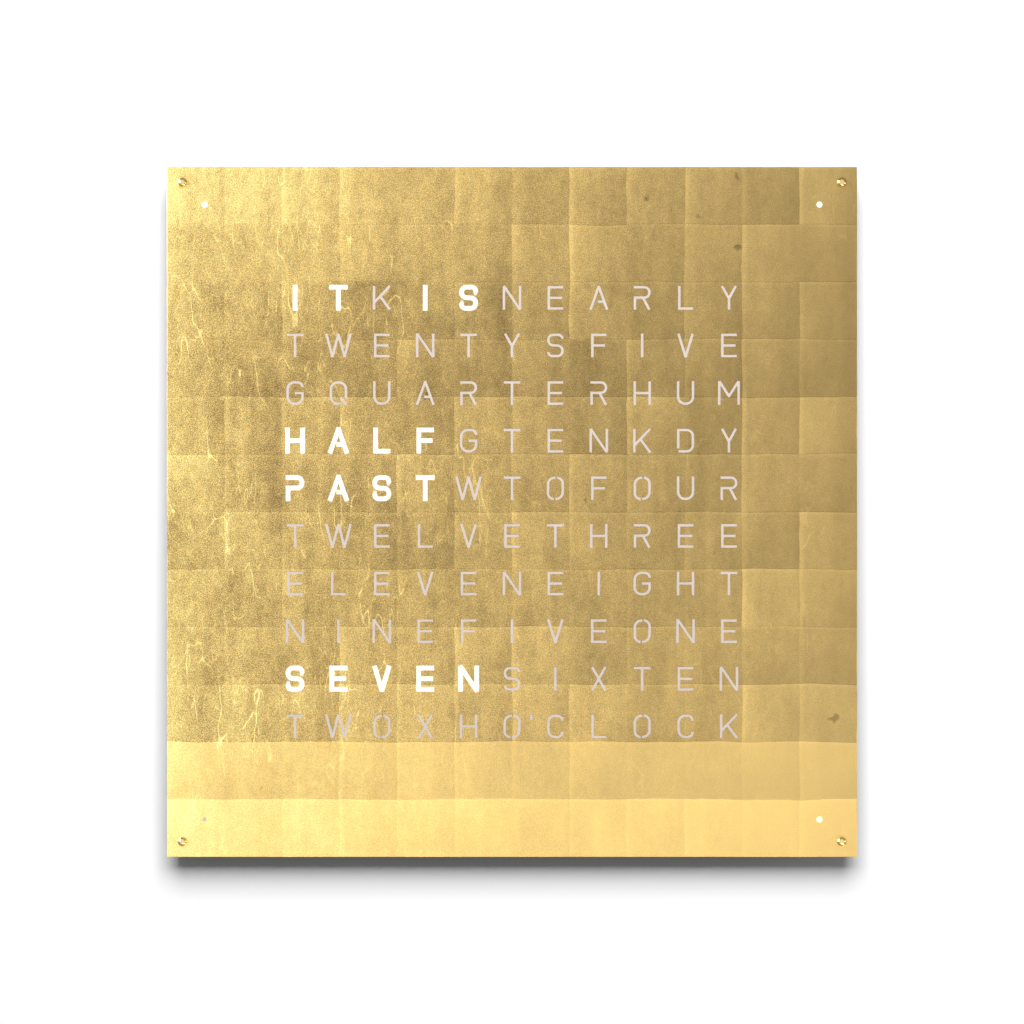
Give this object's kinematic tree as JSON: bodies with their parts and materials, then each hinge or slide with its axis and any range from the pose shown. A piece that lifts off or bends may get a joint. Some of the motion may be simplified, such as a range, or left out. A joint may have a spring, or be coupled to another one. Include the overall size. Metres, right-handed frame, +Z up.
{
  "type": "wall word clock",
  "caption": "Square wall clock that tells the time in lit words, with a gilded face plate on domed corner fixings over an opal sheet, a light grid and a slim frame.",
  "frame": {"origin": "middle of the back panel's rear face, on the wall", "axes": "+X to the viewer's right, +Z up, +Y into the wall; the face looks along -Y"},
  "size_m": [0.9, 0.0425, 0.9],
  "materials": {
    "gilded_plate": "steel plate covered by hand with gold leaf in overlapping squares",
    "opal_sheet": "opal acrylic, matt towards the letters",
    "polished_brass": "turned and polished",
    "plain_brass": "turned, unpolished",
    "rail_paint": "extruded, satin champagne coat",
    "back_paint": "fine textured powder coat",
    "zinc_steel": "zinc plated",
    "moulded_nylon": "moulded, fine texture",
    "grid_plastic": "matt white sheet",
    "cup_plastic": "moulded white",
    "circuit_board": "white solder mask",
    "black_plastic": "moulded",
    "button_plastic": "moulded, satin",
    "clear_acrylic": "clear, polished ends",
    "cable_jacket": "soft flat jacket"
  },
  "bodies": {
    "root": {"front_plate": "gilded_plate", "diffuser_sheet": "opal_sheet", "corner_caps": "polished_brass", "corner_screws": "plain_brass", "corner_inserts": "plain_brass", "frame_rail_bottom": "rail_paint", "frame_rail_left": "rail_paint", "frame_rail_top": "rail_paint", "frame_rail_right": "rail_paint", "back_panel": "back_paint", "hanger_left": "zinc_steel", "hanger_right": "zinc_steel", "coin_cell": "zinc_steel", "corner_block_bottom_left": "moulded_nylon", "corner_block_top_left": "moulded_nylon", "corner_block_top_right": "moulded_nylon", "corner_block_bottom_right": "moulded_nylon", "board_standoffs": "moulded_nylon", "grid_column_01": "grid_plastic", "grid_column_02": "grid_plastic", "grid_column_03": "grid_plastic", "grid_column_04": "grid_plastic", "grid_column_05": "grid_plastic", "grid_column_06": "grid_plastic", "grid_column_07": "grid_plastic", "grid_column_08": "grid_plastic", "grid_column_09": "grid_plastic", "grid_column_10": "grid_plastic", "grid_column_11": "grid_plastic", "grid_column_12": "grid_plastic", "grid_row_01": "grid_plastic", "grid_row_02": "grid_plastic", "grid_row_03": "grid_plastic", "grid_row_04": "grid_plastic", "grid_row_05": "grid_plastic", "grid_row_06": "grid_plastic", "grid_row_07": "grid_plastic", "grid_row_08": "grid_plastic", "grid_row_09": "grid_plastic", "grid_row_10": "grid_plastic", "grid_row_11": "grid_plastic", "minute_cup_bottom_left": "cup_plastic", "minute_cup_top_left": "cup_plastic", "minute_cup_top_right": "cup_plastic", "minute_cup_bottom_right": "cup_plastic", "led_board_upper": "circuit_board", "led_board_lower": "circuit_board", "control_board": "circuit_board", "minute_led_boards": "circuit_board", "power_inlet": "black_plastic", "button_switches": "black_plastic", "light_pipe": "clear_acrylic", "wiring_harness": "cable_jacket"},
    "hour_key": {"button_hour": "button_plastic"},
    "minute_key": {"button_minute": "button_plastic"},
    "brightness_key": {"button_brightness": "button_plastic"},
    "standby_key": {"button_standby": "button_plastic"}
  },
  "joints": [
    {"name": "hour_press", "type": "slide", "parent": "root", "child": "hour_key", "axis": [0, 0, 1], "range_m": [0, 0.0008], "stiffness_N_per_m": 1200},
    {"name": "minute_press", "type": "slide", "parent": "root", "child": "minute_key", "axis": [0, 0, 1], "range_m": [0, 0.0008], "stiffness_N_per_m": 1200},
    {"name": "brightness_press", "type": "slide", "parent": "root", "child": "brightness_key", "axis": [0, 0, 1], "range_m": [0, 0.0008], "stiffness_N_per_m": 1200},
    {"name": "standby_press", "type": "slide", "parent": "root", "child": "standby_key", "axis": [0, 0, 1], "range_m": [0, 0.0008], "stiffness_N_per_m": 1200}
  ]
}
